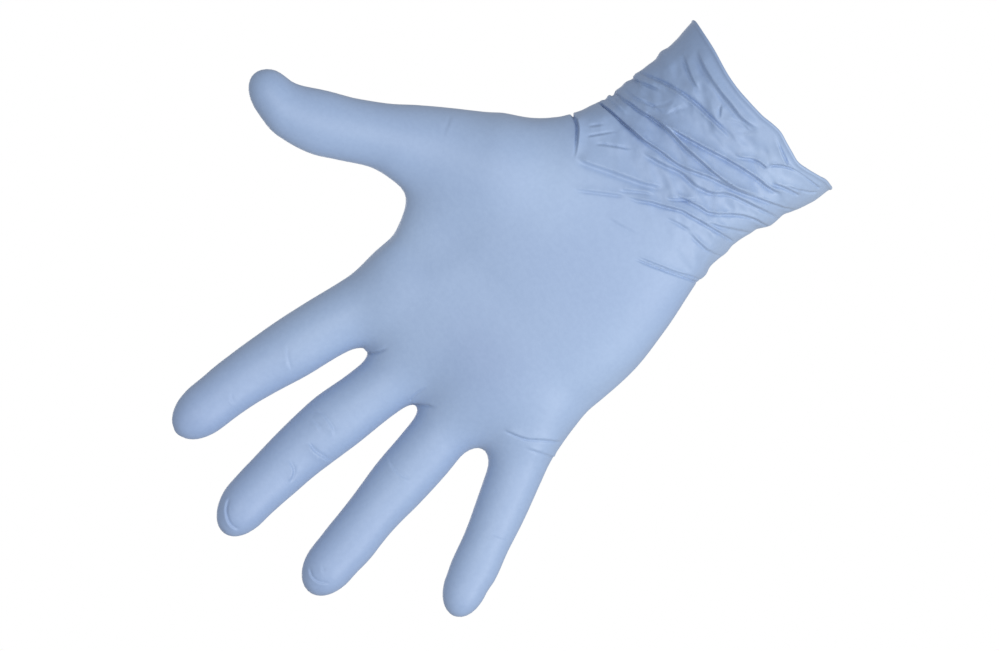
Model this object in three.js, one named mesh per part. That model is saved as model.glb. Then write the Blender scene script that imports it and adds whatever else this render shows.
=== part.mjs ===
// Milking glove: thin nitrile film in its spread, filled-out form, right-handed, seen from the palm side.
// One dipped film: palm, four fingers, thumb, cuff and the rolled bead at the rim.
// Millimetres. Z runs from the cuff's opening to the fingertips, X toward the thumb, the palm faces -Y.
import * as THREE from 'three';

// ---------------------------------------------------------------- driving sizes
const WALL = 1.2;            // wall of the hollow shell
const RIM_ARCH = 5.4;        // how far the middle of the rim stands above its two corners
const RIM_HALF = 37.4;       // half width of the rim
const RIM_FADE = 60;         // height over which the arch of the rim dies out in the cuff
const BEAD_OUT = 0.9;        // how far the rolled bead stands out of the film
const BEAD_HIGH = 2.4;       // height of the rolled bead
// spacing of the surface's points: from, to, step. Finest at the folds, the webs and the tips
const ACROSS = [[-79, -51, 5.6], [-51, 51, 5.0], [51, 106, 6.6], [106, 127, 4.5]];
const DEEP = [[-32, 32, 5.8]];
const ALONG = [[1.0, 62, 3.8], [62, 146, 9.0], [146, 176, 4.6], [176, 222, 7.0], [222, 246, 4.2]];

// sections of cuff and palm: height, the two sides, depth toward the palm and toward the back
const PALM_COLS = ['z', 'xLittle', 'xThumb', 'dPalm', 'dBack'];
const PALM = [
  [-14, -38.6, 37.6, 25.0, 25.0],
  [0, -37.6, 37.2, 25.0, 25.0],
  [10, -37.2, 36.0, 24.0, 24.0],
  [22, -34.6, 35.9, 22.8, 22.8],
  [38, -31.8, 35.9, 21.2, 21.2],
  [50, -31.2, 37.6, 20.4, 20.4],
  [62, -32.6, 40.4, 19.0, 18.6],
  [76, -37.9, 43.0, 17.4, 17.0],
  [92, -42.4, 44.5, 15.6, 15.8],
  [108, -43.8, 44.8, 14.4, 14.8],
  [124, -43.6, 44.0, 13.6, 13.8],
  [140, -43.6, 42.6, 12.6, 12.6],
];
const PALM_FULLNESS = 2.25;  // exponent of the section: 2 is an ellipse
const PALM_END = { start: 128, length: 29 };   // rounded end between the fingers

// pads and webs that fill the palm: centre and radii
const PADS = [
  { name: 'thumb pad', x: 24, y: -8.5, z: 78, rx: 18, ry: 11, rz: 32 },
  { name: 'edge pad', x: -22, y: -7.5, z: 82, rx: 14, ry: 10.5, rz: 36 },
  { name: 'finger pads', x: 1, y: -5.5, z: 137, rx: 36, ry: 8.6, rz: 11 },
  { name: 'thumb web', x: 43, y: -2, z: 109, rx: 9, ry: 8, rz: 12 },
];

// digits: foot and tip in the X-Z plane, start of the rounded tip, then sections along the digit:
// distance from the foot, shift to the thumb side, half width, shift in Y, half depth
const DIGIT_COLS = ['s', 'shift', 'half', 'y', 'depth'];
const DIGITS = {
  index: { foot: [31.0, 140.1], tip: [42.9, 230.6], round: 77, rows: [
    [0, 1.1, 12.1, 0, 10.2], [14, 1.1, 11.6, 0, 10.0], [28, 1.9, 11.0, -0.6, 9.3], [42, 1.9, 10.8, -1.6, 9.0],
    [56, 1.95, 9.9, -3.2, 8.2], [66, 1.55, 9.4, -4.8, 7.8], [76, 0.65, 9.3, -6.6, 7.4], [91.3, -0.4, 9.2, -9.6, 7.4]] },
  middle: { foot: [10.2, 145.6], tip: [5.4, 240.1], round: 80.5, rows: [
    [0, -1.0, 11.6, 0, 10.4], [14, -1.0, 11.2, 0, 10.2], [26, -0.4, 10.5, -0.5, 9.5], [40, 0.9, 10.9, -1.7, 9.2],
    [56, 1.6, 10.0, -3.4, 8.4], [68, 1.4, 9.4, -5.4, 8.0], [80, 1.1, 9.0, -7.6, 7.5], [94.6, -0.4, 9.1, -10.8, 7.5]] },
  ring: { foot: [-14.0, 143.2], tip: [-29.7, 230.3], round: 75.5, rows: [
    [0, -0.3, 11.2, 0, 10.0], [14, -0.4, 10.5, 0, 9.8], [26, -0.75, 10.5, -0.5, 9.2], [40, -0.5, 10.2, -1.5, 8.8],
    [54, -0.45, 9.2, -3.0, 8.0], [66, -0.8, 9.2, -4.8, 7.7], [75, -0.6, 8.9, -6.3, 7.3], [88.5, -0.8, 8.8, -8.8, 7.3]] },
  little: { foot: [-33.0, 128.0], tip: [-68.2, 197.2], round: 66, rows: [
    [0, -0.5, 10.8, 0, 9.4], [12, -0.2, 10.6, 0, 9.2], [24, -1.0, 9.6, -0.4, 8.4], [38, -1.5, 8.9, -1.4, 7.8],
    [50, -1.5, 8.2, -2.8, 7.1], [60, -1.3, 8.4, -4.2, 6.8], [66, -1.0, 7.7, -5.2, 6.5], [77.6, -1.2, 7.8, -7.2, 6.5]] },
  thumb: { foot: [46.0, 86.0], tip: [118.6, 134.0], round: 73.5, rows: [
    [0, -1.0, 17.0, -3.0, 15.0], [16, -2.0, 15.4, -4.5, 13.2], [28, -3.2, 14.2, -6.0, 11.8], [38, -3.4, 11.8, -7.5, 10.6],
    [50, -4.7, 11.3, -9.4, 9.8], [60, -5.2, 11.4, -11.2, 9.2], [72, -4.2, 9.8, -13.4, 8.2], [80, -0.8, 9.4, -14.7, 8.2],
    [87, 1.2, 9.4, -16.0, 8.2]] },
};
const BLEND = { fingers: 4, palm: 8, thumb: 14, pads: 10 };   // how softly the forms run into each other

// folds of the loose cuff and wrist: side (-1 palm, 1 back), a curve through three points, half width, depth
const FOLD_COLS = ['side', 'x0', 'z0', 'x1', 'z1', 'x2', 'z2', 'wide', 'deep'];
const FOLDS = [
  [-1, 42, 53.4, 33.7, 55.4, 27.7, 61.2, 2.4, 1.1],
  [-1, 42, 44.6, 15.8, 40.8, -15.5, 30.1, 2.5, 1.5],
  [-1, 40, 40.4, 17.4, 33.4, -20.2, 24.5, 2.3, 1.1],
  [-1, 42, 30.4, 20.1, 19.7, 4.8, 17.0, 2.4, 1.0],
  [-1, 11.7, 30.2, -6.1, 22.4, -26.2, 18.2, 2.2, 0.9],
  [-1, 26.1, 8.2, 9.2, 10.7, -5.2, 9.1, 2.4, 0.7],
  [-1, 23.8, 60.8, 13.2, 55.1, -1.7, 45.8, 2.2, 0.8],
  [-1, 18.9, 70.3, 0.8, 53.2, -29.9, 38.8, 2.4, 0.9],
  [-1, -10.0, 40.3, -26.2, 29.6, -38.0, 25.5, 2.3, 1.0],
  [-1, -14.6, 67.3, -28.4, 60.1, -42.0, 54.6, 2.2, 0.9],
  [-1, -14.6, 50.0, -26.2, 48.4, -40.0, 45.1, 2.3, 0.9],
  [1, 42, 44.6, 10.0, 47.0, -30.0, 38.0, 2.6, 1.2],
  [1, 42, 31.0, 6.0, 35.0, -24.0, 27.0, 2.4, 1.0],
  [1, 30.0, 19.0, -2.0, 17.5, -38.0, 25.5, 2.4, 0.9],
  [1, 20.0, 60.0, -6.0, 57.0, -42.0, 54.6, 2.4, 0.9],
];

// ---------------------------------------------------------------- the form as a distance field
const named = (cols, rows) => rows.map((r) => Object.fromEntries(cols.map((c, i) => [c, r[i]])));

// smooth curve through one column of a table of sections
function curve(rows, key, value) {
  const x = rows.map((r) => r[key]);
  const y = rows.map((r) => r[value]);
  const last = x.length - 1;
  const slope = (i) => (y[i + 1] - y[i]) / (x[i + 1] - x[i]);
  const m = y.map((_, i) => {
    if (i === 0) return slope(0);
    if (i === last) return slope(last - 1);
    return (slope(i - 1) * (x[i + 1] - x[i]) + slope(i) * (x[i] - x[i - 1])) / (x[i + 1] - x[i - 1]);
  });
  return (at) => {
    const t = Math.min(Math.max(at, x[0]), x[last]);
    let i = 0;
    while (i < last - 1 && t >= x[i + 1]) i += 1;
    const h = x[i + 1] - x[i];
    const w = (t - x[i]) / h;
    const w2 = w * w;
    const w3 = w2 * w;
    return (2 * w3 - 3 * w2 + 1) * y[i] + (w3 - 2 * w2 + w) * h * m[i]
      + (3 * w2 - 2 * w3) * y[i + 1] + (w3 - w2) * h * m[i + 1];
  };
}

const palmRows = named(PALM_COLS, PALM);
const palmAt = Object.fromEntries(PALM_COLS.slice(1).map((c) => [c, curve(palmRows, 'z', c)]));

const digits = Object.fromEntries(Object.entries(DIGITS).map(([name, d]) => {
  const length = Math.hypot(d.tip[0] - d.foot[0], d.tip[1] - d.foot[1]);
  const rows = named(DIGIT_COLS, d.rows);
  return [name, {
    ...d, length, rows,
    dx: (d.tip[0] - d.foot[0]) / length,
    dz: (d.tip[1] - d.foot[1]) / length,
    at: Object.fromEntries(DIGIT_COLS.slice(1).map((c) => [c, curve(rows, 's', c)])),
  }];
}));

function blend(a, b, k) {
  const h = Math.max(k - Math.abs(a - b), 0) / k;
  return Math.min(a, b) - (h * h * k) / 4;
}

function ellipsoid(u, v, w, a, b, c) {
  const r = Math.hypot(u / a, v / b, w / c);
  const g = Math.hypot(u / (a * a), v / (b * b), w / (c * c)) + 1e-9;
  return (r * (r - 1)) / g;
}

function digitField(x, y, z, d) {
  const s = (x - d.foot[0]) * d.dx + (z - d.foot[1]) * d.dz;
  const t = (x - d.foot[0]) * d.dz - (z - d.foot[1]) * d.dx;
  const body = Math.min(s, d.round);
  const beyond = Math.max(s - d.round, 0) + Math.max(-s, 0);
  const end = s > d.round ? d.length - d.round : d.rows[0].half;
  return ellipsoid(t - d.at.shift(s), y - d.at.y(s), beyond, d.at.half(body), d.at.depth(body), end);
}

function palmField(x, y, z) {
  const h = Math.min(z, PALM_END.start);
  const lo = palmAt.xLittle(h);
  const hi = palmAt.xThumb(h);
  const a = (hi - lo) / 2;
  const b = y < 0 ? palmAt.dPalm(h) : palmAt.dBack(h);
  const n = PALM_FULLNESS;
  const u = Math.abs((x - (hi + lo) / 2) / a) + 1e-9;
  const v = Math.abs(y / b) + 1e-9;
  const w = Math.max(z - PALM_END.start, 0) / PALM_END.length;
  const r = (u ** n + v ** n + w ** n) ** (1 / n);
  const g = r ** (1 - n) * Math.hypot(u ** (n - 1) / a, v ** (n - 1) / b, w ** (n - 1) / PALM_END.length);
  return (r - 1) / g;
}

function field(x, y, z) {
  let f = digitField(x, y, z, digits.index);
  for (const name of ['middle', 'ring', 'little']) f = blend(f, digitField(x, y, z, digits[name]), BLEND.fingers);
  let p = palmField(x, y, z);
  for (const q of PADS) p = blend(p, ellipsoid(x - q.x, y - q.y, z - q.z, q.rx, q.ry, q.rz), BLEND.pads);
  f = blend(f, p, BLEND.palm);
  return blend(f, digitField(x, y, z, digits.thumb), BLEND.thumb);
}

function gradient(p) {
  const e = 0.05;
  return new THREE.Vector3(
    field(p.x + e, p.y, p.z) - field(p.x - e, p.y, p.z),
    field(p.x, p.y + e, p.z) - field(p.x, p.y - e, p.z),
    field(p.x, p.y, p.z + e) - field(p.x, p.y, p.z - e),
  ).divideScalar(2 * e);
}

// ---------------------------------------------------------------- folds
const folds = named(FOLD_COLS, FOLDS).map((f) => {
  const path = new THREE.QuadraticBezierCurve(
    new THREE.Vector2(f.x0, f.z0),
    new THREE.Vector2(2 * f.x1 - (f.x0 + f.x2) / 2, 2 * f.z1 - (f.z0 + f.z2) / 2),
    new THREE.Vector2(f.x2, f.z2),
  );
  return { ...f, points: path.getPoints(14) };
});

const smooth = (lo, hi, t) => {
  const w = Math.min(Math.max((t - lo) / (hi - lo), 0), 1);
  return w * w * (3 - 2 * w);
};

// height of the film above its smooth form: each fold is a valley between two low ridges
function foldHeight(p) {
  let height = 0;
  for (const f of folds) {
    let best = Infinity;
    let along = 0;
    for (let i = 0; i + 1 < f.points.length; i += 1) {
      const a = f.points[i];
      const b = f.points[i + 1];
      const ex = b.x - a.x;
      const ez = b.y - a.y;
      const t = Math.min(Math.max(((p.x - a.x) * ex + (p.z - a.y) * ez) / (ex * ex + ez * ez), 0), 1);
      const d = Math.hypot(p.x - a.x - t * ex, p.z - a.y - t * ez);
      if (d < best) {
        best = d;
        along = (i + t) / (f.points.length - 1);
      }
    }
    const t = best / f.wide;
    if (t > 4) continue;
    const shape = 0.55 * Math.exp(-(((t - 1.9) / 0.9) ** 2)) - Math.exp(-t * t);
    const ends = smooth(0, 0.18, along) * smooth(0, 0.18, 1 - along);
    height += f.deep * shape * ends * smooth(-5, 5, f.side * p.y);
  }
  return height;
}

// ---------------------------------------------------------------- skin of the form
const arch = (x) => RIM_ARCH * (1 - Math.min((x / RIM_HALF) ** 2, 1));
const fade = (h) => 1 - smooth(0, RIM_FADE, h);

function steps(from, to, step) {
  const n = Math.max(1, Math.round((to - from) / step));
  return Array.from({ length: n + 1 }, (_, i) => from + ((to - from) * i) / n);
}

const line = (rows) => rows.flatMap(([from, to, step], n) => steps(from, to, step).slice(n ? 1 : 0));
const gx = line(ACROSS);
const gy = line(DEEP);
const gh = line(ALONG);

const node = (i, j, k) => new THREE.Vector3(gx[i], gy[j], gh[k] + arch(gx[i]) * fade(gh[k]));
const id = (i, j, k) => (k * gy.length + j) * gx.length + i;
const value = new Float64Array(gx.length * gy.length * gh.length);
for (let k = 0; k < gh.length; k += 1) {
  for (let j = 0; j < gy.length; j += 1) {
    for (let i = 0; i < gx.length; i += 1) {
      const p = node(i, j, k);
      value[id(i, j, k)] = field(p.x, p.y, p.z);
    }
  }
}

// a cell's twelve edges as pairs of corners, and its six sides as rings of four corners
const CORNERS = [[0, 0, 0], [1, 0, 0], [1, 1, 0], [0, 1, 0], [0, 0, 1], [1, 0, 1], [1, 1, 1], [0, 1, 1]];
const EDGES = [[0, 1], [1, 2], [3, 2], [0, 3], [4, 5], [5, 6], [7, 6], [4, 7], [0, 4], [1, 5], [2, 6], [3, 7]];
const SIDES = [[0, 1, 2, 3], [4, 5, 6, 7], [0, 1, 5, 4], [1, 2, 6, 5], [3, 2, 6, 7], [0, 3, 7, 4]];
const edgeOf = (a, b) => EDGES.findIndex((e) => (e[0] === a && e[1] === b) || (e[0] === b && e[1] === a));

// one point for each sheet of skin that passes through a cell
const points = [];
const pointOf = new Map();   // cell and edge -> point
for (let k = 0; k + 1 < gh.length; k += 1) {
  for (let j = 0; j + 1 < gy.length; j += 1) {
    for (let i = 0; i + 1 < gx.length; i += 1) {
      const v = CORNERS.map(([a, b, c]) => value[id(i + a, j + b, k + c)]);
      const inside = v.map((n) => n < 0);
      if (inside.every((n) => n) || !inside.some((n) => n)) continue;
      const cut = EDGES.map(([a, b]) => inside[a] !== inside[b]);
      const group = EDGES.map((_, n) => n);
      const find = (n) => (group[n] === n ? n : find(group[n]));
      const join = (a, b) => { group[find(a)] = find(b); };
      for (const side of SIDES) {
        const around = side.map((c, n) => edgeOf(c, side[(n + 1) % 4]));
        const hit = around.filter((e) => cut[e]);
        if (hit.length === 2) join(hit[0], hit[1]);
        if (hit.length === 4) {
          side.forEach((c, n) => { if (inside[c]) join(around[n], around[(n + 3) % 4]); });
        }
      }
      const sheets = new Map();
      cut.forEach((c, n) => {
        if (!c) return;
        const root = find(n);
        if (!sheets.has(root)) sheets.set(root, []);
        sheets.get(root).push(n);
      });
      for (const edges of sheets.values()) {
        const sum = new THREE.Vector3();
        for (const n of edges) {
          const [a, b] = EDGES[n];
          const pa = node(i + CORNERS[a][0], j + CORNERS[a][1], k + CORNERS[a][2]);
          const pb = node(i + CORNERS[b][0], j + CORNERS[b][1], k + CORNERS[b][2]);
          sum.add(pa.lerp(pb, v[a] / (v[a] - v[b])));
        }
        const index = points.push(sum.divideScalar(edges.length)) - 1;
        for (const n of edges) pointOf.set(id(i, j, k) * 12 + n, index);
      }
    }
  }
}

// four cells share each cut edge of the grid: their points make one face
const quads = [];
const AXES = [
  { step: [1, 0, 0], u: [0, 1, 0], v: [0, 0, 1], edges: [0, 2, 6, 4] },
  { step: [0, 1, 0], u: [0, 0, 1], v: [1, 0, 0], edges: [3, 7, 5, 1] },
  { step: [0, 0, 1], u: [1, 0, 0], v: [0, 1, 0], edges: [8, 9, 10, 11] },
];
for (let k = 0; k + 1 < gh.length; k += 1) {
  for (let j = 1; j + 1 < gy.length; j += 1) {
    for (let i = 1; i + 1 < gx.length; i += 1) {
      for (const { step, u, v, edges } of AXES) {
        if (k === 0 && step[2] === 0) continue;
        const a = value[id(i, j, k)];
        const b = value[id(i + step[0], j + step[1], k + step[2])];
        if ((a < 0) === (b < 0)) continue;
        const around = [[0, 0], [1, 0], [1, 1], [0, 1]].map(([du, dv], n) => {
          const ci = i - du * u[0] - dv * v[0];
          const cj = j - du * u[1] - dv * v[1];
          const ck = k - du * u[2] - dv * v[2];
          return pointOf.get(id(ci, cj, ck) * 12 + edges[n]);
        });
        if (around.some((n) => n === undefined)) continue;
        quads.push(a < 0 ? around : around.reverse());
      }
    }
  }
}

// the open edge of the skin: its points carry the bead
const sides = new Set(quads.flatMap((q) => q.map((n, m) => `${n},${q[(m + 1) % 4]}`)));
const next = new Map();      // each point of the open edge -> the one after it, as the bead's faces run
for (const side of sides) {
  const [a, b] = side.split(',').map(Number);
  if (!sides.has(`${b},${a}`)) next.set(b, a);
}
const bottom = points.map((_, n) => next.has(n));

// the points slide along the skin until they are evenly spread
const ROUNDS = 12;
const neighbours = points.map(() => new Set());
for (const q of quads) {
  q.forEach((n, m) => {
    neighbours[n].add(q[(m + 1) % 4]);
    neighbours[n].add(q[(m + 3) % 4]);
  });
}
function toSkin(p, level) {
  for (let n = 0; n < 3; n += 1) {
    const g = gradient(p);
    if (level) g.z = 0;
    p.addScaledVector(g, -field(p.x, p.y, p.z) / Math.max(g.lengthSq(), 0.05));
  }
  if (level) p.z = BEAD_HIGH + arch(p.x);
}
for (let round = 0; round < ROUNDS; round += 1) {
  const moved = points.map((p, n) => {
    const near = [...neighbours[n]].filter((m) => !bottom[n] || bottom[m]);
    const mean = near.reduce((s, m) => s.add(points[m]), new THREE.Vector3()).divideScalar(near.length);
    return p.clone().lerp(mean, round + 1 < ROUNDS ? 0.5 : 0);
  });
  moved.forEach((p, n) => { toSkin(p, bottom[n]); points[n].copy(p); });
}

const normals = points.map((p, n) => {
  const g = gradient(p);
  if (bottom[n]) g.z = 0;
  return g.normalize();
});
const outer = points.map((p, n) => p.clone().addScaledVector(normals[n],
  bottom[n] ? 0 : foldHeight(p) * smooth(0, 6, p.z - arch(p.x) - BEAD_HIGH)));
const inner = outer.map((p, n) => p.clone().addScaledVector(normals[n], -WALL));

// ---------------------------------------------------------------- one closed body
const place = [];
const put = (p) => place.push(p) - 1;
const tris = [];
const outId = outer.map(put);
const inId = inner.map(put);
for (const q of quads) {
  const [a, b, c, d] = q;
  const split = outer[a].distanceTo(outer[c]) <= outer[b].distanceTo(outer[d]);
  const pair = split ? [[a, b, c], [a, c, d]] : [[b, c, d], [b, d, a]];
  for (const [l, m, n] of pair) {
    tris.push([outId[l], outId[m], outId[n]]);
    tris.push([inId[l], inId[n], inId[m]]);
  }
}

// the rolled bead: rows of points from the film's outside round to its inside
const BEAD = [
  { out: 0.75 * BEAD_OUT, up: 0.80 * BEAD_HIGH },
  { out: BEAD_OUT, up: 0.45 * BEAD_HIGH },
  { out: 0.6 * BEAD_OUT, up: 0.08 * BEAD_HIGH },
  { out: -0.5 * WALL, up: 0 },
  { out: -1.25 * WALL, up: 0.25 * BEAD_HIGH },
  { out: -1.3 * WALL, up: 0.6 * BEAD_HIGH },
];
const rowIds = new Map();
for (const n of next.keys()) {
  const rows = BEAD.map(({ out, up }) => {
    const p = points[n].clone().addScaledVector(normals[n], out);
    p.z += up - BEAD_HIGH;
    return put(p);
  });
  rowIds.set(n, [outId[n], ...rows, inId[n]]);
}
for (const [from, to] of next) {
  const a = rowIds.get(from);
  const b = rowIds.get(to);
  for (let r = 0; r + 1 < a.length; r += 1) {
    tris.push([a[r], b[r], b[r + 1]], [a[r], b[r + 1], a[r + 1]]);
  }
}

const geometry = new THREE.BufferGeometry();
geometry.setAttribute('position', new THREE.Float32BufferAttribute(place.flatMap((p) => [p.x, p.y, p.z]), 3));
geometry.setIndex(tris.flat());
geometry.computeVertexNormals();

const glove = new THREE.Mesh(geometry, new THREE.MeshStandardMaterial({ color: 0xa1b4d7, roughness: 0.55, metalness: 0 }));
glove.name = 'glove';

const part = new THREE.Group();
part.name = 'milking_glove';
part.add(glove);
export default part;
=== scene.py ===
import math

import bpy
import numpy as np
from mathutils import Matrix, Vector, kdtree, noise


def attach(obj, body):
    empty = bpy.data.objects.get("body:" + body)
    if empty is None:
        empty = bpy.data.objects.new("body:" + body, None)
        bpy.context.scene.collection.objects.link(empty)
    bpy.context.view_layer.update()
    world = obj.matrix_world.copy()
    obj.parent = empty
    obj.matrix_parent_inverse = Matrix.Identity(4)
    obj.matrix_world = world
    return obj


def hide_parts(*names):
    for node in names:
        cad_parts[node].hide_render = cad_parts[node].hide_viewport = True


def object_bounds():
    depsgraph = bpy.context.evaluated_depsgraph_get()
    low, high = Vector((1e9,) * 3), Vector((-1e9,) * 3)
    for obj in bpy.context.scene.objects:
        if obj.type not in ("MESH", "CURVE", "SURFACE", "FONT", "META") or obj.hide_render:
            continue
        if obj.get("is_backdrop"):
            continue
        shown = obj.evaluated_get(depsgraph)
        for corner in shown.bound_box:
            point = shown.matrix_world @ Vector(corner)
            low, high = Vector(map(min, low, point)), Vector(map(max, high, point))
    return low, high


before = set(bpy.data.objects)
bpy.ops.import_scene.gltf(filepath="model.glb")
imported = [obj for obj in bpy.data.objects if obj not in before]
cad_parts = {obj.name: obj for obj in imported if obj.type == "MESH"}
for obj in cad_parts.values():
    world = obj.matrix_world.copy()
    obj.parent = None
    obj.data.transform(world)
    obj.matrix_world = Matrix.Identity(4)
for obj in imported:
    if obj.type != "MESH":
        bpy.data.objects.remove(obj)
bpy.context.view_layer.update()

# Milking glove: thin blue nitrile film in its spread, filled-out form, right-handed, seen from the palm side.
# Sizes are millimetres up to the end, where the mesh is scaled to metres. Z runs from the cuff's opening to the
# fingertips, X toward the thumb, and the palm faces -Y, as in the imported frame.

FILM = 0.36          # thickness of the film as modelled
BEAD_RADIUS = 0.68   # rolled bead at the rim
BEAD_ROWS = 11
RIM_HALF = 37.4      # half width of the rim
RIM_FADE = 60.0      # height over which the rim's line dies out in the cuff
BACK_ARCH = 5.0      # the rim's rise at the back
VIEW_MIDDLE = (-1.7, 119.9)   # X and Z where the camera's axis meets the glove
VIEW_FAR = 2500.0             # the camera's distance

# lower edge of the rim on the palm side: two low arches with a dip between them
RIM_COLS = ("x", "z")
RIM = [
    (-37.6, -0.2), (-35.0, -0.2), (-33.0, 0.6), (-31.0, 1.35), (-28.0, 2.4), (-24.0, 3.4), (-20.0, 2.85),
    (-16.0, 2.15), (-12.0, 1.45), (-8.0, 1.85), (-4.0, 2.7), (0.0, 3.05), (4.0, 3.25), (8.0, 3.4), (12.0, 3.25),
    (16.0, 2.8), (20.0, 2.05), (24.0, 1.25), (27.0, 0.8), (30.0, 0.45), (32.0, 0.25), (36.0, -0.15), (37.4, -0.1),
]

# sections of cuff and palm: height, the two sides, depth toward the palm and toward the back.
# In the cuff the two sides carry the small steps that the folds make where they run round the edge
PALM_COLS = ("z", "xLittle", "xThumb")
PALM = [
    (-14, -38.7, 37.7), (0, -38.2, 37.35), (5, -38.1, 36.65), (8, -37.9, 36.1), (10, -37.5, 35.9),
    (13, -36.8, 35.7), (16, -35.9, 36.2), (19, -34.8, 35.3), (22, -34.9, 35.4), (25, -34.8, 35.5),
    (28, -33.4, 35.8), (29.5, -32.7, 35.1), (32, -32.5, 35.7), (34.5, -32.1, 35.5), (36.9, -31.8, 35.4),
    (38.5, -31.7, 34.7), (39.5, -31.6, 35.6), (41.6, -31.9, 35.0), (42.7, -32.1, 35.4), (45.0, -31.9, 35.6),
    (46.8, -31.6, 35.8), (50.5, -31.5, 35.8), (53, -32.4, 36.2), (54.5, -32.4, 36.7), (57, -31.7, 37.8),
    (60, -32.2, 39.6), (65, -33.5, 41.6),
    (76, -37.3, 43.0), (92, -42.2, 44.3), (108, -43.8, 44.8), (124, -43.7, 43.7), (140, -43.8, 42.3),
]
DEPTH_COLS = ("z", "dPalm", "dBack")
DEPTH = [
    (-14, 25.0, 25.0), (0, 25.0, 25.0), (10, 23.8, 24.0), (22, 22.0, 22.8), (38, 19.8, 21.2), (50, 18.6, 20.4),
    (62, 18.2, 18.6), (76, 17.4, 17.0), (92, 15.6, 15.8), (108, 14.4, 14.8), (124, 13.6, 13.8), (140, 12.6, 12.6),
]
CUFF_FULLNESS, PALM_FULLNESS = 2.0, 2.25     # 2 is an ellipse, more is boxier
PALM_START, PALM_LENGTH = 128.0, 29.0

# pads and webs that fill the palm: centre and radii
PAD_COLS = ("x", "y", "z", "rx", "ry", "rz")
PADS = [
    (21.0, -7.0, 80.0, 22.0, 10.5, 36.0),
    (-13.0, -6.0, 90.0, 24.0, 10.0, 44.0),
    (2.0, -3.6, 133.0, 35.0, 8.6, 15.0),
    (41.8, -2.0, 110.5, 8.6, 8.0, 13.0),
    (21.8, 0.0, 149.9, 3.6, 6.0, 5.6),
]

# digits: foot and tip in the X-Z plane, start of the rounded tip, then sections along the digit
DIGIT_COLS = ("s", "shift", "half", "y", "depth")
DIGITS = {
    "index": dict(foot=(31.0, 140.1), tip=(42.9, 230.35), round=77.0, rows=[
        (0, 0.9, 12.1, 0, 10.2), (14, 0.85, 11.7, 0, 10.0), (28, 1.75, 11.0, -0.6, 9.3), (42, 1.75, 10.8, -1.6, 9.0),
        (56, 1.8, 9.9, -3.2, 8.2), (66, 1.4, 9.4, -4.8, 7.8), (76, 0.3, 9.1, -6.6, 7.4), (91.3, -1.0, 8.9, -9.6, 7.4)]),
    "middle": dict(foot=(10.2, 145.6), tip=(5.4, 240.1), round=80.5, rows=[
        (0, -1.2, 11.5, 0, 10.4), (14, -1.5, 10.8, 0, 10.2), (26, -0.55, 10.5, -0.5, 9.5), (40, 0.75, 10.9, -1.7, 9.2),
        (56, 1.45, 10.0, -3.4, 8.4), (68, 1.25, 9.4, -5.4, 8.0), (80, 0.85, 8.9, -7.6, 7.5), (94.6, -0.8, 8.9, -10.8, 7.5)]),
    "ring": dict(foot=(-14.0, 143.2), tip=(-29.7, 230.3), round=75.5, rows=[
        (0, -0.45, 11.2, 0, 10.0), (14, -0.6, 10.5, 0, 9.8), (26, -0.9, 10.5, -0.5, 9.2), (40, -0.65, 10.2, -1.5, 8.8),
        (54, -0.6, 9.2, -3.0, 8.0), (66, -0.95, 9.2, -4.8, 7.7), (75, -0.85, 8.8, -6.3, 7.3), (88.5, -1.2, 8.6, -8.8, 7.3)]),
    "little": dict(foot=(-33.0, 128.0), tip=(-68.2, 197.2), round=66.0, rows=[
        (0, -0.65, 10.8, 0, 9.4), (12, -0.5, 10.4, 0, 9.2), (24, -1.2, 9.6, -0.4, 8.4), (38, -1.65, 8.9, -1.4, 7.8),
        (50, -1.65, 8.2, -2.8, 7.1), (60, -1.5, 8.3, -4.2, 6.8), (66, -1.2, 7.6, -5.2, 6.5), (77.6, -1.5, 7.6, -7.2, 6.5)]),
    "thumb": dict(foot=(46.0, 86.0), tip=(118.6, 134.0), round=73.5, rows=[
        (0, -1.0, 17.0, -3.0, 15.0), (16, -2.1, 15.2, -4.5, 13.2), (28, -3.2, 13.8, -6.0, 11.8), (38, -3.5, 11.6, -7.5, 10.6),
        (50, -4.8, 11.2, -9.4, 9.8), (60, -5.3, 11.3, -11.2, 9.2), (72, -4.4, 9.7, -13.4, 8.2), (80, -0.9, 9.4, -14.7, 8.2),
        (87, 1.2, 9.4, -16.0, 8.2)]),
}
BLEND = dict(fingers=4.0, palm=8.0, thumb=14.0, pads=13.0)

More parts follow.
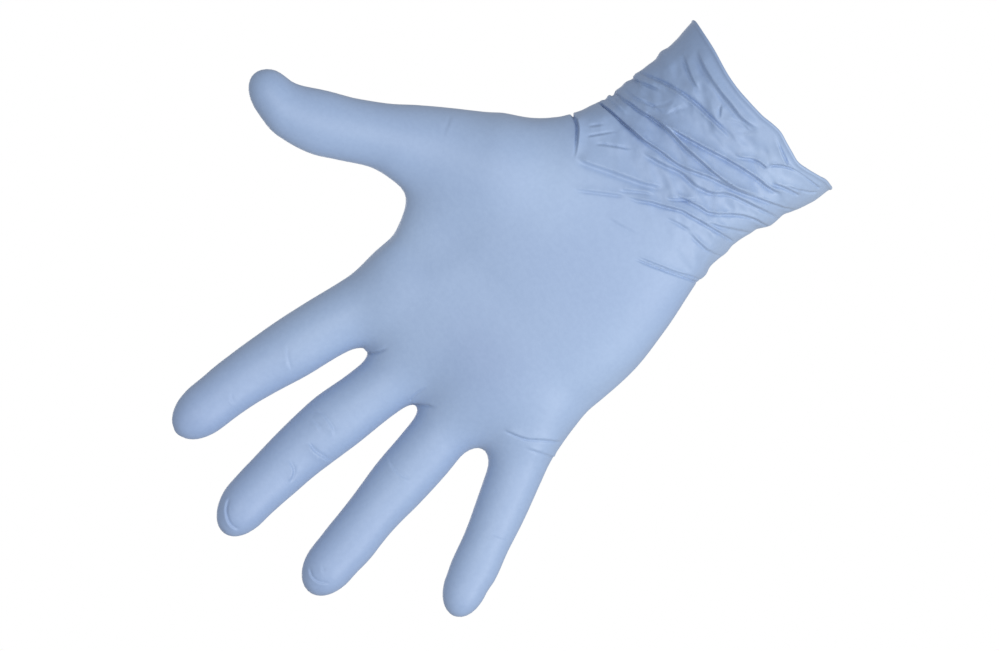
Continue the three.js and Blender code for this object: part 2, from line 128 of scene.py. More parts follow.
# Folds of the film. Each is a line of (x, z) points that runs away from the thumb side. Across the line the film
# rises by `high` over the distance `rise`, and falls back over `wide`: toward the rim (+1) or toward the fingers (-1).
# A crease `dip` deep and `thin` wide lies along the line. `start` and `end` are the lengths over which the fold dies out.
FOLD_COLS = ("line", "high", "rise", "wide", "dip", "thin", "toward", "start", "end")
PALM_FOLDS = [
    ([(43.0, 51.8), (38.5, 53.5), (36.2, 54.0), (34.0, 55.2), (32.2, 56.8), (30.0, 59.0), (27.7, 61.7), (26.6, 63.6)], 1.7, 1.1, 2.6, 2.2, 0.54, 1, 0.1, 13),
    ([(39.8, 43.9), (35.9, 43.5), (31.5, 42.8), (28.4, 42.3), (24.7, 41.7), (21.0, 41.0), (16.9, 40.4), (14.0, 39.6), (9.7, 38.2)], 0.9, 0.8, 2, 2.3, 0.38, 1, 0.1, 14),
    ([(30.0, 42.8), (16.6, 40.6), (9.4, 38.4), (1.5, 36.4), (-4.5, 33.2), (-8.9, 30.6), (-14.0, 28.4), (-18.9, 26.0), (-24.8, 22.5), (-30.0, 19.3), (-33.4, 17.1), (-37.0, 14.0)], 1.4, 1.5, 3, 1.0, 0.55, 1, 10, 1),
    ([(39.8, 41.2), (35.9, 40.8), (33.5, 40.3), (30.6, 40.0), (27.5, 39.3), (24.9, 38.4)], 0.7, 1.2, 1.6, 0.9, 0.6, 1, 0.1, 7),
    ([(40.0, 38.4), (34.4, 37.1), (31.4, 36.6), (28.3, 35.6), (24.9, 34.9), (22.0, 33.8), (18.9, 32.8), (15.7, 31.9), (11.5, 31.2), (5.4, 31.0)], 1.24, 1.4, 2, 1.7, 0.5, 1, 0.1, 12),
    ([(22.1, 34.4), (16.6, 32.4), (11.0, 31.5), (4.9, 31.0), (-1.6, 29.9), (-8.9, 28.7), (-16.2, 26.6), (-21.2, 23.9), (-26.3, 20.4)], 2.1, 1.9, 3.2, 1.2, 0.6, 1, 7, 9),
    ([(38.0, 34.2), (30.0, 33.4), (24.0, 30.4), (18.0, 29.2)], 0.4, 1.4, 2, 0.79, 0.55, 1, 0.1, 7),
    ([(39.0, 31.2), (36.0, 30.2), (31.9, 28.0), (28.4, 26.1), (25.0, 24.6)], 0.9, 1.2, 1.8, 1.4, 0.5, 1, 0.1, 5),
    ([(39.0, 27.8), (34.8, 26.1), (31.3, 24.3), (27.3, 22.3), (23.6, 20.7), (19.5, 19.3), (13.8, 18.0), (8.9, 17.4), (2.6, 16.6), (-3.3, 15.8)], 1.2, 1.6, 2.6, 1.5, 0.6, -1, 0.1, 8),
    ([(16.0, 31.8), (13.0, 30.6), (6.2, 28.0), (0.2, 25.6), (-5.9, 23.0), (-12.5, 20.5), (-19.1, 18.4), (-24.3, 17.3), (-29.0, 15.0)], 1.86, 1.8, 2.8, 1.4, 0.62, 1, 6, 4),
    ([(29.4, 6.0), (24.0, 8.0), (19.1, 8.8), (12.6, 9.4), (6.2, 9.4), (0.8, 9.6), (-3.6, 8.6), (-7.0, 7.4)], 1.25, 2.2, 2.6, 0.95, 1.0, 1, 6, 6),
    ([(31.0, 10.6), (23.2, 13.6), (16.9, 14.7)], 0.7, 1.5, 2.2, 0.9, 0.65, 1, 4, 4),
    ([(-8.0, 19.4), (-10.5, 17.7), (-13.0, 15.5), (-15.6, 14.1), (-19.4, 13.2)], 1.0, 1.2, 2.2, 1.2, 0.45, 1, 4, 2),
    ([(-18.4, 12.6), (-19.4, 10.8), (-21.3, 8.8), (-24.2, 6.7), (-27.2, 5.4), (-31.3, 4.4), (-36.0, 3.4)], 1.0, 1.0, 2.0, 1.35, 0.42, 1, 2, 1),
    ([(-12.0, 3.6), (-14.6, 4.4), (-17.1, 5.4), (-20.0, 6.2), (-22.9, 7.0)], 0.6, 0.9, 1.3, 1.6, 0.42, -1, 3, 1.5),
    ([(-23.3, 15.8), (-27.9, 12.8), (-33.6, 10.4)], 0.93, 1.2, 1.6, 1.44, 0.66, 1, 3, 2),
    ([(-27.0, 12.0), (-30.5, 10.2), (-34.6, 7.1), (-36.2, 4.9)], 0.4, 1.0, 1.4, 0.8, 0.42, 1, 3, 1),
    ([(26.0, 62.8), (21.7, 60.6), (14.8, 56.4), (9.4, 53.2), (4.5, 50.3), (0.4, 47.1), (-1.8, 45.5)], 0.9, 2.2, 3.4, 0.85, 1.0, 1, 4, 5),
    ([(19.0, 70.8), (15.4, 67.4), (12.1, 64.2), (7.1, 59.5), (5.1, 57.5)], 0.45, 1.4, 2.2, 0.65, 0.5, 1, 6, 3),
    ([(8.4, 58.2), (7.0, 56.8), (2.1, 52.0), (-1.2, 49.4)], 0.4, 1.4, 2.0, 0.6, 0.5, 1, 3, 3),
    ([(5.5, 58.0), (1.2, 55.1), (-2.7, 51.8), (-5.9, 49.7), (-11.2, 45.8), (-14.1, 44.7), (-18.9, 42.8), (-24.0, 41.0), (-31.5, 38.2)], 1.1, 1.4, 3, 1.25, 0.55, 1, 9, 2),
    ([(-4.3, 44.5), (-13.8, 40.3), (-18.5, 38.3), (-25.2, 31.2), (-29.9, 27.8), (-35.6, 25.5)], 1.15, 1.4, 2.2, 1.2, 0.55, 1, 7, 0.1),
    ([(-17.8, 48.7), (-24.2, 48.1), (-28.5, 47.1), (-34.5, 43.6)], 0.8, 1.5, 2.2, 0.75, 0.55, 1, 6, 0.1),
    ([(-9.5, 51.7), (-13.1, 49.8), (-19.0, 47.7)], 0.3, 1.2, 1.8, 0.6, 0.5, 1, 4, 3),
    ([(-3.9, 47.4), (-6.8, 45.1), (-12.2, 38.9)], 0.3, 1.1, 1.6, 0.7, 0.45, 1, 3, 3),
    ([(-12.3, 69.4), (-15.7, 67.8), (-21.3, 64.7), (-27.9, 60.8), (-32.1, 58.3), (-36.1, 56.0)], 0.3, 0.8, 1.2, 1.15, 0.4, 1, 7, 0.1),
    ([(-12.7, 68.1), (-15.5, 66.9), (-21.0, 63.9), (-27.1, 60.4), (-31.7, 57.1), (-36.5, 54.5)], 0.3, 0.8, 1.2, 1.0, 0.4, 1, 7, 0.1),
    ([(4.7, 67.6), (2.2, 66.8), (-2.8, 65.0), (-8.1, 62.5)], 0.26, 1.4, 2, 0.36, 0.6, 1, 4, 4),
    ([(29.9, 54.7), (28.4, 52.1), (27.0, 49.7), (25.6, 47.2), (23.7, 44.3)], 0.32, 0.9, 1.7, 0.65, 0.42, -1, 2, 8),
    ([(26.1, 54.4), (24.1, 52.1), (22.0, 50.2), (19.9, 48.3), (17.7, 46.5), (16.2, 45.0)], 0.32, 0.9, 1.7, 0.65, 0.42, -1, 3, 4),
    ([(32.5, 52.4), (30.6, 49.4), (28.7, 46.5)], 0.22, 1.0, 1.4, 0.6, 0.5, -1, 3, 4),
    ([(13.0, 43.6), (4.9, 40.4), (-0.7, 37.7), (-6.6, 36.7), (-12.0, 35.4)], 0.93, 1.6, 2.2, 1.1, 0.9, 1, 4, 5),
    ([(-19.0, 42.0), (-23.6, 39.1), (-28.4, 35.3), (-34.5, 30.0)], 0.93, 1.5, 2, 0.83, 0.66, 1, 5, 0.1),
    ([(18.1, 29.0), (16.7, 23.4), (14.9, 20.8)], 0.32, 1.1, 1.3, 0.56, 0.5, 1, 3, 2),
    ([(-7.7, 36.3), (-12.7, 34.1), (-17.6, 29.2), (-25.2, 25.5), (-35.0, 21.0)], 1.24, 1.5, 2, 1.2, 0.66, 1, 4, 0.1),
    ([(-4.6, 46.8), (-8.7, 42.5), (-11.6, 38.6)], 0.32, 1.2, 1.5, 0.46, 0.5, 1, 3, 3),
    ([(24.0, 31.0), (21.0, 27.0), (20.0, 22.6)], 0.24, 1, 1.2, 0.46, 0.5, -1, 2, 2),
    ([(4.0, 14.6), (0.0, 11.0), (-6.0, 9.6)], 0.28, 1.2, 1.5, 0.5, 0.5, 1, 3, 3),
    ([(-2.0, 14.0), (-4.6, 10.6), (-6.0, 8.4)], 0.28, 1.2, 1.5, 0.5, 0.5, -1, 3, 3),
    ([(8.8, 11.2), (7.3, 13.0), (5.0, 15.2)], 0.35, 0.8, 1.2, 0.65, 0.42, 1, 2, 2),
]
BACK_FOLDS = [
    ([(43.0, 51.6), (38.5, 53.2), (30.0, 50.4), (14.0, 52.5), (2.0, 57.0)], 1.86, 1.4, 2.8, 1.5, 0.61, 1, 0.1, 9),
    ([(40.0, 43.9), (24.0, 46.2), (6.0, 45.2), (-14.0, 40.5), (-28.0, 42.0), (-35.0, 44.0)], 1.71, 1.5, 2.8, 1.2, 0.66, 1, 0.1, 0.1),
    ([(40.0, 37.6), (22.0, 38.8), (4.0, 36.6), (-8.0, 31.2), (-20.0, 30.4)], 1.86, 1.9, 3, 1.05, 0.66, 1, 0.1, 8),
    ([(39.0, 28.0), (26.0, 30.4), (10.0, 28.0), (-6.0, 22.0), (-22.0, 22.4), (-35.5, 25.2)], 1.55, 1.7, 2.6, 0.9, 0.66, -1, 0.1, 0.1),
    ([(32.0, 20.6), (16.0, 21.4), (4.0, 17.0), (-12.0, 14.6)], 1.24, 1.6, 2.4, 0.75, 0.61, 1, 6, 6),
    ([(-6.0, 17.8), (-18.0, 12.6), (-28.0, 13.4), (-34.0, 15.0)], 1.24, 1.6, 2.4, 0.75, 0.61, 1, 5, 1),
    ([(26.0, 9.2), (10.0, 11.2), (-4.0, 9.0)], 0.93, 1.7, 2.4, 0.45, 0.66, -1, 6, 6),
    ([(24.0, 61.0), (6.0, 55.0), (-12.0, 55.6), (-24.0, 58.0), (-36.5, 55.6)], 1.24, 1.7, 2.6, 0.6, 0.61, 1, 8, 0.1),
    ([(12.0, 67.0), (0.0, 61.4), (-10.0, 61.6)], 0.28, 1.7, 2.2, 0.28, 0.6, 1, 5, 5),
    ([(-4.0, 48.6), (-14.0, 46.6), (-22.0, 36.4), (-34.0, 33.0)], 1.08, 1.6, 2.2, 0.6, 0.61, 1, 4, 0.5),
    ([(31.0, 56.8), (22.0, 54.4), (12.0, 57.4)], 0.32, 1.4, 1.8, 0.47, 0.5, 1, 3, 4),
    ([(18.0, 33.0), (14.0, 26.6), (6.0, 21.6)], 0.32, 1.3, 1.7, 0.47, 0.5, -1, 3, 3),
    ([(-12.0, 27.4), (-20.0, 18.6), (-24.0, 9.0)], 0.36, 1.4, 1.8, 0.47, 0.5, -1, 4, 4),
]
# small creases of the palm side at the finger joints, the webs and the little finger's root
FINE_CREASES = [
    ([(9.6, 197.0), (5.8, 197.3), (2.5, 196.4), (-1.4, 194.8)], 0.52, 0.8, 1.5, 0.75, 0.5, -1, 3, 2),
    ([(16.6, 187.7), (12.3, 187.0), (7.9, 187.3), (4.7, 188.9)], 0.4, 0.8, 1.6, 0.42, 0.5, -1, 3, 3),
    ([(15.4, 191.6), (11.6, 190.8), (8.0, 191.4)], 0.25, 0.8, 1.4, 0.3, 0.5, -1, 3, 3),
    ([(9.4, 206.0), (5.4, 206.9), (3.6, 208.6), (2.6, 211.4)], 0.37, 0.8, 1.4, 0.51, 0.5, -1, 3, 2),
    ([(12.2, 230.6), (9.0, 234.4), (4.6, 236.2), (0.6, 235.0)], 0.46, 0.8, 1, 0.6, 0.5, -1, 2, 2),
    ([(-11.0, 178.6), (-16.2, 180.0), (-20.6, 179.4), (-24.2, 177.6)], 0.28, 0.8, 1.5, 0.3, 0.5, -1, 3, 3),
    ([(-24.0, 224.4), (-27.6, 225.8), (-30.6, 225.2), (-33.4, 222.6)], 0.3, 0.8, 1, 0.42, 0.5, -1, 2, 2),
    ([(-26.4, 221.2), (-30.0, 221.6)], 0.25, 0.8, 1, 0.36, 0.5, -1, 2, 2),
    ([(40.6, 181.0), (36.4, 184.0), (31.6, 186.2)], 0.18, 0.8, 1.5, 0.26, 0.5, -1, 3, 3),
    ([(40.8, 206.4), (37.4, 208.4), (34.8, 208.0)], 0.21, 0.8, 1.4, 0.24, 0.5, -1, 3, 3),
    ([(-55.8, 168.2), (-59.2, 166.4), (-62.0, 164.0)], 0.18, 0.8, 1.4, 0.21, 0.5, -1, 2, 2),
    ([(-30.4, 142.2), (-35.0, 139.8), (-38.4, 137.6), (-42.0, 133.8), (-46.8, 129.0)], 0.63, 0.9, 1.6, 0.83, 0.45, 1, 4, 2),
    ([(-40.0, 140.4), (-44.6, 137.4), (-51.0, 133.4)], 0.4, 0.9, 1.3, 0.52, 0.42, 1, 4, 0.1),
    ([(20.6, 162.0), (19.9, 161.0), (18.4, 158.9), (17.4, 156.2), (17.0, 154.4)], 0.4, 0.9, 1.3, 1.05, 0.5, 1, 0.1, 4),
    ([(-3.6, 161.0), (-6.4, 157.8), (-10.2, 154.4)], 0.4, 0.9, 1.3, 1.05, 0.5, 1, 0.1, 5),
    ([(-2.0, 160.6), (-1.6, 156.6), (-2.4, 152.0)], 0.23, 0.9, 1.3, 0.6, 0.5, 1, 0.1, 5),
    ([(66.2, 85.0), (63.6, 89.5), (61.0, 93.8)], 0.14, 1.6, 2.0, 0.16, 0.7, 1, 4, 4),
]


# ---------------------------------------------------------------- the form as a distance field
def smooth(lo, hi, t):
    w = np.clip((t - lo) / (hi - lo), 0.0, 1.0)
    return w * w * (3 - 2 * w)


def curve(rows, names, value, key=None):
    """Smooth curve through one column of a table of sections, held at its ends."""
    x = np.array([r[names.index(key or names[0])] for r in rows], float)
    y = np.array([r[names.index(value)] for r in rows], float)
    step = np.diff(x)
    slope = np.diff(y) / step
    m = np.empty_like(y)
    m[0], m[-1] = slope[0], slope[-1]
    m[1:-1] = (slope[1:] * step[1:] + slope[:-1] * step[:-1]) / (x[2:] - x[:-2])
    fine = np.linspace(x[0], x[-1], 2400)
    i = np.clip(np.searchsorted(x, fine, side="right") - 1, 0, len(x) - 2)
    h = step[i]
    w = (fine - x[i]) / h
    w2, w3 = w * w, w * w * w
    line = ((2 * w3 - 3 * w2 + 1) * y[i] + (w3 - 2 * w2 + w) * h * m[i]
            + (3 * w2 - 2 * w3) * y[i + 1] + (w3 - w2) * h * m[i + 1])
    return lambda t: np.interp(t, fine, line)


palm_side = {c: curve(PALM, PALM_COLS, c) for c in PALM_COLS[1:]}
palm_depth = {c: curve(DEPTH, DEPTH_COLS, c) for c in DEPTH_COLS[1:]}
rim_front = curve(RIM, RIM_COLS, "z")
digits = {}
for name, d in DIGITS.items():
    length = math.hypot(d["tip"][0] - d["foot"][0], d["tip"][1] - d["foot"][1])
    digits[name] = dict(d, length=length,
                        dx=(d["tip"][0] - d["foot"][0]) / length, dz=(d["tip"][1] - d["foot"][1]) / length,
                        at={c: curve(d["rows"], DIGIT_COLS, c) for c in DIGIT_COLS[1:]})


def blend(a, b, k):
    h = np.maximum(k - np.abs(a - b), 0) / k
    return np.minimum(a, b) - h * h * k / 4


def ellipsoid(u, v, w, a, b, c):
    r = np.sqrt((u / a) ** 2 + (v / b) ** 2 + (w / c) ** 2)
    g = np.sqrt((u / a ** 2) ** 2 + (v / b ** 2) ** 2 + (w / c ** 2) ** 2) + 1e-9
    return r * (r - 1) / g


def digit_field(x, y, z, d):
    fx, fz = d["foot"]
    s = (x - fx) * d["dx"] + (z - fz) * d["dz"]
    t = (x - fx) * d["dz"] - (z - fz) * d["dx"]
    body = np.minimum(s, d["round"])
    beyond = np.maximum(s - d["round"], 0) + np.maximum(-s, 0)
    end = np.where(s > d["round"], d["length"] - d["round"], d["rows"][0][2])
    at = d["at"]
    return ellipsoid(t - at["shift"](s), y - at["y"](s), beyond, at["half"](body), at["depth"](body), end)


def palm_field(x, y, z):
    h = np.minimum(z, PALM_START)
    lo, hi = palm_side["xLittle"](h), palm_side["xThumb"](h)
    a = (hi - lo) / 2
    b = np.where(y < 0, palm_depth["dPalm"](h), palm_depth["dBack"](h))
    n = CUFF_FULLNESS + (PALM_FULLNESS - CUFF_FULLNESS) * smooth(30, 75, z)
    u = np.abs((x - (hi + lo) / 2) / a) + 1e-9
    v = np.abs(y / b) + 1e-9
    w = np.maximum(z - PALM_START, 0) / PALM_LENGTH
    r = (u ** n + v ** n + w ** n) ** (1 / n)
    g = r ** (1 - n) * np.sqrt((u ** (n - 1) / a) ** 2 + (v ** (n - 1) / b) ** 2 + (w ** (n - 1) / PALM_LENGTH) ** 2)
    return (r - 1) / g


def field(p):
    x, y, z = p[..., 0], p[..., 1], p[..., 2]
    f = digit_field(x, y, z, digits["index"])
    for name in ("middle", "ring", "little"):
        f = blend(f, digit_field(x, y, z, digits[name]), BLEND["fingers"])
    p = palm_field(x, y, z)
    for q in PADS:
        p = blend(p, ellipsoid(x - q[0], y - q[1], z - q[2], q[3], q[4], q[5]), BLEND["pads"])
    f = blend(f, p, BLEND["palm"])
    return blend(f, digit_field(x, y, z, digits["thumb"]), BLEND["thumb"])


def gradient(p, value=None):
    e = 0.04
    value = field(p) if value is None else value
    g = np.empty_like(p)
    for axis in range(3):
        q = p.copy()
        q[:, axis] += e
        g[:, axis] = (field(q) - value) / e
    return g


def rim_line(x, y):
    """Height of the rim's lower edge over its two corners."""
    back = BACK_ARCH * (1 - np.minimum((x / RIM_HALF) ** 4, 1))
    return rim_front(x) + (back - rim_front(x)) * smooth(-4, 4, y)


# ---------------------------------------------------------------- skin of the form
def steps(rows):
    line = [rows[0][0]]
    for start, stop, step in rows:
        n = max(1, round((stop - start) / step))
        line += [start + (stop - start) * (i + 1) / n for i in range(n)]
    return np.array(line)


BEAD_TOP = 2.2       # where the plain film starts above the rim's lower edge
ACROSS = [(-80, -50, 2.1), (-50, 52, 1.7), (52, 128, 2.1)]
DEEP = [(-31.4, 30.6, 1.8)]
ALONG = [(1.5, 70, 1.35), (70, 247, 2.1)]

gx, gy, gh = steps(ACROSS), steps(DEEP), steps(ALONG)
X, Y, H = np.meshgrid(gx, gy, gh, indexing="ij")
grid = np.stack((X, Y, H + rim_line(X, Y) * (1 - smooth(0, RIM_FADE, H))), -1)
value = field(grid)
inside = value < 0

cells = tuple(n - 1 for n in value.shape)
total = np.zeros(cells + (3,))
count = np.zeros(cells, int)
crossings = []
for axis in range(3):
    lo = [slice(None)] * 3
    hi = [slice(None)] * 3
    lo[axis], hi[axis] = slice(0, -1), slice(1, None)
    lo, hi = tuple(lo), tuple(hi)
    cut = inside[lo] != inside[hi]
    va, vb = value[lo], value[hi]
    t = np.where(cut, va / np.where(cut, va - vb, 1.0), 0.0)[..., None]
    at = np.where(cut[..., None], grid[lo] + (grid[hi] - grid[lo]) * t, 0.0)
    crossings.append((cut, inside[lo]))
    others = [n for n in range(3) if n != axis]
    for a in (0, 1):
        for b in (0, 1):
            pick = [slice(None)] * 3
            pick[others[0]] = slice(a, cells[others[0]] + a)
            pick[others[1]] = slice(b, cells[others[1]] + b)
            total += at[tuple(pick)]
            count += cut[tuple(pick)]
used = count > 0
number = np.full(cells, -1)
number[used] = np.arange(used.sum())
points = total[used] / count[used][:, None]

quads = []
for axis, (u, v) in ((0, (1, 2)), (1, (2, 0)), (2, (0, 1))):
    cut, from_inside = crossings[axis]
    where = np.argwhere(cut)
    keep = (where[:, u] > 0) & (where[:, u] < cells[u]) & (where[:, v] > 0) & (where[:, v] < cells[v])
    where = where[keep]
    around = []
    for du, dv in ((0, 0), (1, 0), (1, 1), (0, 1)):
        c = where.copy()
        c[:, u] -= du
        c[:, v] -= dv
        around.append(number[c[:, 0], c[:, 1], c[:, 2]])
    around = np.stack(around, 1)
    flip = ~from_inside[where[:, 0], where[:, 1], where[:, 2]]
    around[flip] = around[flip][:, ::-1]
    quads.append(around[(around >= 0).all(1)])
quads = np.concatenate(quads)

# the open edge of the skin: its points carry the bead


def open_edge(faces):
    """The open edge's points in order, as the bead's faces run."""
    after = {}
    sides = {(f[n - 1], f[n]) for f in faces for n in range(len(f))}
    for a, b in sides:
        if (b, a) not in sides:
            after[b] = a
    ring = [min(after)]
    while after[ring[-1]] != ring[0]:
        ring.append(after[ring[-1]])
    if len(ring) != len(after):
        raise RuntimeError("the film has more than one opening")
    return ring


def to_skin(p, rim, rounds):
    for _ in range(rounds):
        f = field(p)
        g = gradient(p, f)
        g[rim, 2] = 0
        p -= g * (f / np.maximum((g * g).sum(1), 0.05))[:, None]
    p[rim, 2] = BEAD_TOP + rim_line(p[rim, 0], p[rim, 1])
    return p


coarse = [tuple(q) for q in quads.tolist()]
coarse_ring = open_edge(coarse)
on_rim = np.zeros(len(points), bool)
on_rim[coarse_ring] = True
ends = np.unique(np.sort(np.stack((quads, np.roll(quads, -1, 1)), -1).reshape(-1, 2), 1), axis=0)
mixed = on_rim[ends[:, 0]] ^ on_rim[ends[:, 1]]              # a rim point slides along the rim only
first, second = ends[mixed].T
sources = np.concatenate((ends[~mixed][:, 0], ends[~mixed][:, 1], np.where(on_rim[first], first, second)))
targets = np.concatenate((ends[~mixed][:, 1], ends[~mixed][:, 0], np.where(on_rim[first], second, first)))
degree = np.bincount(targets, minlength=len(points))[:, None]
for turn in range(6):
    mean = np.stack([np.bincount(targets, points[sources, n], len(points)) for n in range(3)], 1) / degree
    points += (mean - points) * 0.5
    points = to_skin(points, on_rim, 1)


def refine(points, faces, split):
    """Cuts the chosen four-sided faces into four. Their neighbours take the new points into their edges."""
    added, middle = [], {}

    def between(a, b):
        key = (a, b) if a < b else (b, a)
        if key not in middle:
            middle[key] = len(points) + len(added)
            added.append((points[a] + points[b]) / 2)
        return middle[key]

    cut = []
    for face, chosen in zip(faces, split):
        if not chosen:
            cut.append(face)
            continue
        m = [between(face[n], face[(n + 1) % 4]) for n in range(4)]
        added.append(points[list(face)].mean(0))
        c = len(points) + len(added) - 1
        cut += [(face[n], m[n], c, m[n - 1]) for n in range(4)]
    out = []
    for face in cut:
        whole = []
        for n, a in enumerate(face):
            b = face[(n + 1) % len(face)]
            whole.append(a)
            m = middle.get((a, b) if a < b else (b, a))
            if m is not None:
                whole.append(m)
        out.append(tuple(whole))
    return np.vstack((points, np.array(added))), out


def near_lines(p, tables, reach):
    """Whether a point is within reach of one of the folds' lines on its own side."""
    close = np.zeros(len(p), bool)
    for rows, palm in tables:
        mine = np.flatnonzero((p[:, 1] < 2) if palm else (p[:, 1] > -2))
        q = p[mine][:, [0, 2]]
        for row in rows:
            path = bend(row[0], 4)
            box = np.flatnonzero(((q > path.min(0) - reach) & (q < path.max(0) + reach)).all(1))
            if len(box):
                d = np.linalg.norm(q[box][:, None] - path, axis=2).min(1)
                close[mine[box[d < reach]]] = True
    return close


# ---------------------------------------------------------------- folds
def bend(line, pieces=8):
    """Smooth line through the given points."""
    p = np.array(line, float)
    p = np.vstack((2 * p[0] - p[1], p, 2 * p[-1] - p[-2]))
    out = []
    for i in range(1, len(p) - 2):
        for n in range(pieces):
            t = n / pieces
            out.append(0.5 * (2 * p[i] + (p[i + 1] - p[i - 1]) * t
                              + (2 * p[i - 1] - 5 * p[i] + 4 * p[i + 1] - p[i + 2]) * t * t
                              + (3 * p[i] - p[i - 1] - 3 * p[i + 1] + p[i + 2]) * t ** 3))
    out.append(p[-2])
    return np.array(out)


LIP_HIGH, LIP_WIDE = 0.34, 0.45     # rolled lip on a fold's crest, as a share of its height, and its width


def fold_height(p, rows):
    """Height of the film above its smooth form, from the folds in one table."""
    height = np.zeros(len(p))
    at = p[:, [0, 2]]
    for line, high, rise, wide, dip, thin, toward, start, end in rows:
        path = bend(line)
        reach = rise + 3 * wide
        near = np.flatnonzero(((at > path.min(0) - reach) & (at < path.max(0) + reach)).all(1))
        if not len(near):
            continue
        q = at[near]
        a, b = path[:-1], path[1:]
        e = b - a
        size = np.linalg.norm(e, axis=1)
        t = np.clip(((q[:, None] - a) * e).sum(2) / size ** 2, 0, 1)
        off = q[:, None] - a - t[..., None] * e
        distance = np.linalg.norm(off, axis=2)
        k = distance.argmin(1)
        rows_ = np.arange(len(q))
        along = np.concatenate(((0,), np.cumsum(size)))
        s = along[k] + t[rows_, k] * size[k]
        n = np.stack((-e[:, 1], e[:, 0]), 1) / size[:, None]       # toward the rim
        u = distance[rows_, k] * np.sign((off[rows_, k] * n[k]).sum(1) + 1e-12) * toward
        up = smooth(-rise / 2, rise / 2, u) * np.exp(-(np.maximum(u - rise / 2, 0) / wide) ** 1.3)
        up += LIP_HIGH * np.exp(-((u - rise / 2) / LIP_WIDE) ** 2)
        shape = high * up - dip * np.exp(-(u / thin) ** 2)
        height[near] += shape * smooth(0, start, s) * smooth(0, end, along[-1] - s)
    return height


def waves(p, rows):
    """Slow swelling of the film: crossed sine waves, each with a direction, a length and a phase."""
    total = np.zeros(len(p))
    for cx, cz, length, phase, size in rows:
        total += size * np.sin((p[:, 0] * cx + p[:, 2] * cz) * 2 * math.pi / length + phase)
    return total


WAVE_COLS = ("x", "z", "length", "phase", "size")
CUFF_WAVES = [
    (0.35, 0.94, 13.0, 0.4, 0.22), (0.62, 0.78, 8.3, 2.1, 0.12), (-0.30, 0.95, 7.1, 4.0, 0.10),
    (0.92, -0.38, 10.4, 1.2, 0.12),
]
# crumpling of the loose film: flat facets between sharp creases, longest along the folds
CRUMPLE_COLS = ("long", "across", "high")
CRUMPLE = [(11.0, 5.6, 1.35), (6.0, 3.2, 0.75)]
CRUMPLE_TILT = (0.95, -0.31)      # direction of the folds in X and Z


def crumple(p):
    cx, cz = CRUMPLE_TILT
    along, across = p[:, 0] * cx + p[:, 2] * cz, p[:, 2] * cx - p[:, 0] * cz
    total = np.zeros(len(p))
    for long, short, high in CRUMPLE:
        q = np.stack((along / long, p[:, 1] / long, across / short), 1)
        total += high * np.array([noise.voronoi(Vector(v))[0][0] for v in q.tolist()])
    return total - total.mean()


def centres(faces):
    return np.array([points[list(f)].mean(0) for f in faces])


SHARP = [row for row in PALM_FOLDS if row[FOLD_COLS.index("dip")] >= 0.6]
DEEPEST = [row for row in PALM_FOLDS if row[FOLD_COLS.index("dip")] >= 2.0]
FINEST_REACH, DEEPEST_REACH = 1.2, 1.0
at = centres(coarse)
points, faces_out = refine(points, coarse, ((at[:, 2] < 70) & (at[:, 1] < 2))
                           | near_lines(at, [(FINE_CREASES, True), (BACK_FOLDS, False)], 3.0))
at = centres(faces_out)
four = np.array([len(f) == 4 for f in faces_out])
points, faces_out = refine(points, faces_out, four & near_lines(at, [(SHARP + FINE_CREASES, True)], FINEST_REACH))
at = centres(faces_out)
four = np.array([len(f) == 4 for f in faces_out])
points, faces_out = refine(points, faces_out, four & near_lines(at, [(DEEPEST, True)], DEEPEST_REACH))
ring = np.array(open_edge(faces_out))
on_rim = np.zeros(len(points), bool)
on_rim[ring] = True
points = to_skin(points, on_rim, 2)
normals = gradient(points)
normals[on_rim, 2] = 0
normals /= np.linalg.norm(normals, axis=1)[:, None]

above = points[:, 2] - rim_line(points[:, 0], points[:, 1]) - BEAD_TOP
palm_side_weight = 1 - smooth(-3, 3, points[:, 1])
side = np.abs(normals[:, 0])
edge_up = 1 - 0.94 * smooth(0.62, 0.93, side)        # what stands up fades out before the outline
edge_down = 1 - 0.85 * smooth(0.88, 1.0, side)       # creases run on to it
calm = smooth(0, 1.6, above)
height = fold_height(points, PALM_FOLDS) * palm_side_weight + fold_height(points, BACK_FOLDS) * (1 - palm_side_weight)
height *= calm * np.where(height > 0, edge_up, edge_down)
loose = smooth(1, 8, above) * (1 - smooth(34, 66, points[:, 2])) * edge_up
height += waves(points, CUFF_WAVES) * loose
soft = np.flatnonzero(loose > 0)
height[soft] += crumple(points[soft]) * loose[soft]
facing = smooth(-0.15, 0.2, -normals[:, 1])
height += fold_height(points, FINE_CREASES) * facing
# where the film faces front or back it folds straight in and out, so a crease stays on its line
push = normals * (0.2, 1.0, 0.2)
push /= np.linalg.norm(push, axis=1)[:, None]
push = normals + (push - normals) * smooth(0.15, 0.6, np.abs(normals[:, 1]))[:, None]
outer = points + push * height[:, None]

# the inner skin keeps under the deepest point near each of its own points
base = int(np.max(quads)) + 1
low = height[:base].copy()
tree = kdtree.KDTree(len(points))
for n, p in enumerate(points):
    tree.insert(p, n)
tree.balance()
for n in np.flatnonzero((points[:base, 2] < 75) | (np.abs(low) > 0.01)):
    low[n] = min(height[hit[1]] for hit in tree.find_range(points[n], 1.9))
inner = points[:base] + push[:base] * low[:, None] - normals[:base] * FILM
inner[on_rim[:base]] = (outer - normals * FILM)[:base][on_rim[:base]]

# ---------------------------------------------------------------- rolled bead and one closed mesh
verts = [outer, inner]
count = len(outer) + base
